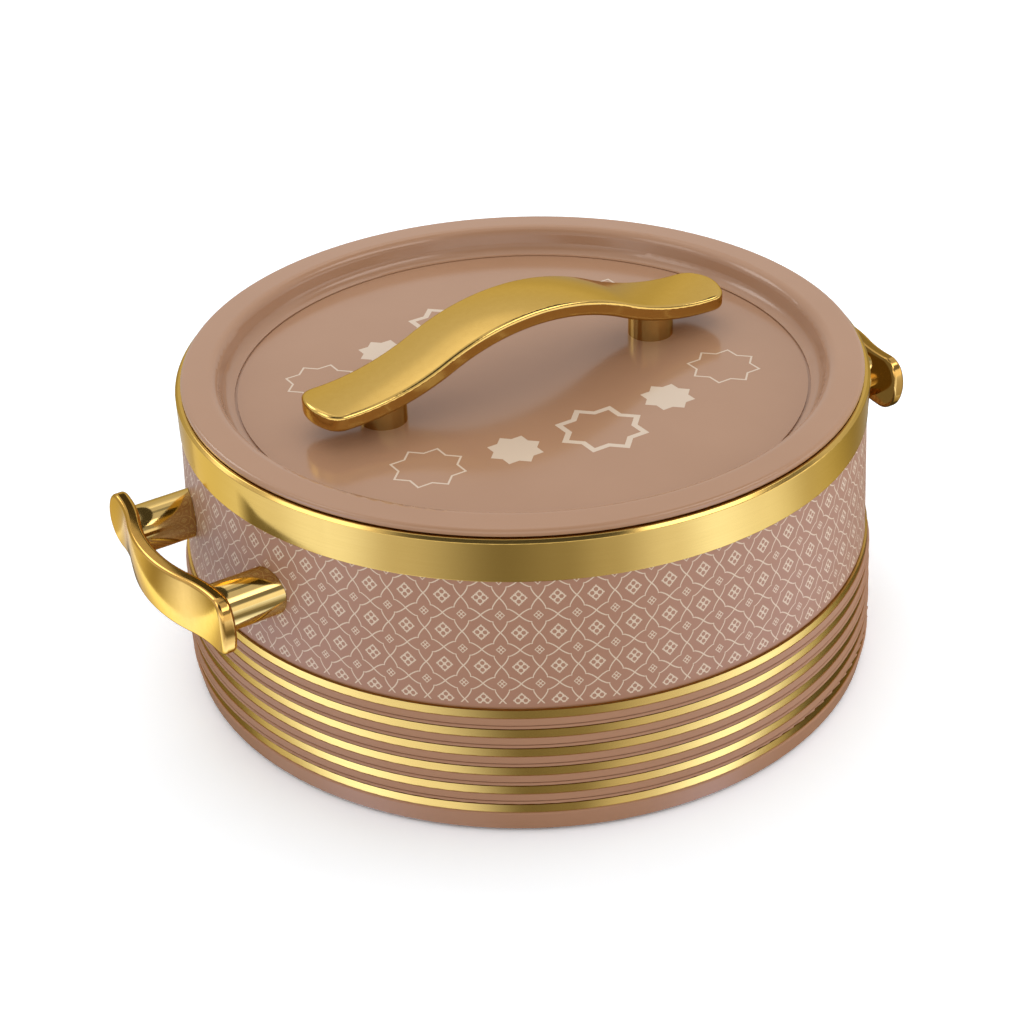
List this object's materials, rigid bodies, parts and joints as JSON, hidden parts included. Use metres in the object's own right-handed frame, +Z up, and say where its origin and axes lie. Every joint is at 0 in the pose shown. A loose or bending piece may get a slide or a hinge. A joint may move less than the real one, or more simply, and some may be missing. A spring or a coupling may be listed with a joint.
{
  "type": "insulated casserole dish",
  "caption": "Round insulated serving casserole with a steel pot foamed into a ribbed, banded shell, side handles and a lift-off lid with a bridge handle.",
  "frame": {"origin": "on the table, under the middle of the body, level with the undersides of the feet", "axes": "+Z up along the body's axis, +X along the line through the two side handles, which the lid handle follows too"},
  "size_m": [0.3514, 0.2993, 0.1584],
  "materials": {
    "rose_plastic": "glossy moulded plastic in a rose brown",
    "printed_film": "in-mould film printed with a pale lattice",
    "gold_plating": "gold plating over moulded plastic, polished",
    "satin_gold": "gold plating over moulded plastic, satin to polished",
    "pot_steel": "drawn stainless steel, fine turned brushing",
    "foam": "rigid insulating foam",
    "base_plastic": "moulded plastic, fine matt texture",
    "seal_silicone": "soft pale silicone",
    "foot_rubber": "soft dark rubber",
    "fastener_steel": "zinc-plated steel"
  },
  "bodies": {
    "body": {"outer_shell": "rose_plastic", "printed_sleeve": "printed_film", "rim_band": "gold_plating", "gold_ring_1": "gold_plating", "gold_ring_2": "gold_plating", "gold_ring_3": "gold_plating", "gold_ring_4": "gold_plating", "gold_ring_5": "gold_plating", "gold_ring_6": "gold_plating", "left_bar": "satin_gold", "right_bar": "satin_gold", "left_front_post": "satin_gold", "left_rear_post": "satin_gold", "right_front_post": "satin_gold", "right_rear_post": "satin_gold", "inner_pot": "pot_steel", "pot_insulation": "foam", "base_plate": "base_plastic", "rubber_feet": "foot_rubber", "base_screws": "fastener_steel", "side_screws": "fastener_steel", "side_washers": "fastener_steel"},
    "lid": {"lid_shell": "rose_plastic", "lid_liner": "pot_steel", "lid_insulation": "foam", "lid_seal": "seal_silicone", "lid_bar": "satin_gold", "lid_left_post": "satin_gold", "lid_right_post": "satin_gold", "lid_screws": "fastener_steel", "lid_washers": "fastener_steel"}
  },
  "joints": [
    {"name": "lid_lift", "type": "slide", "parent": "body", "child": "lid", "axis": [0, 0, 1], "range_m": [0, 0.16]}
  ]
}
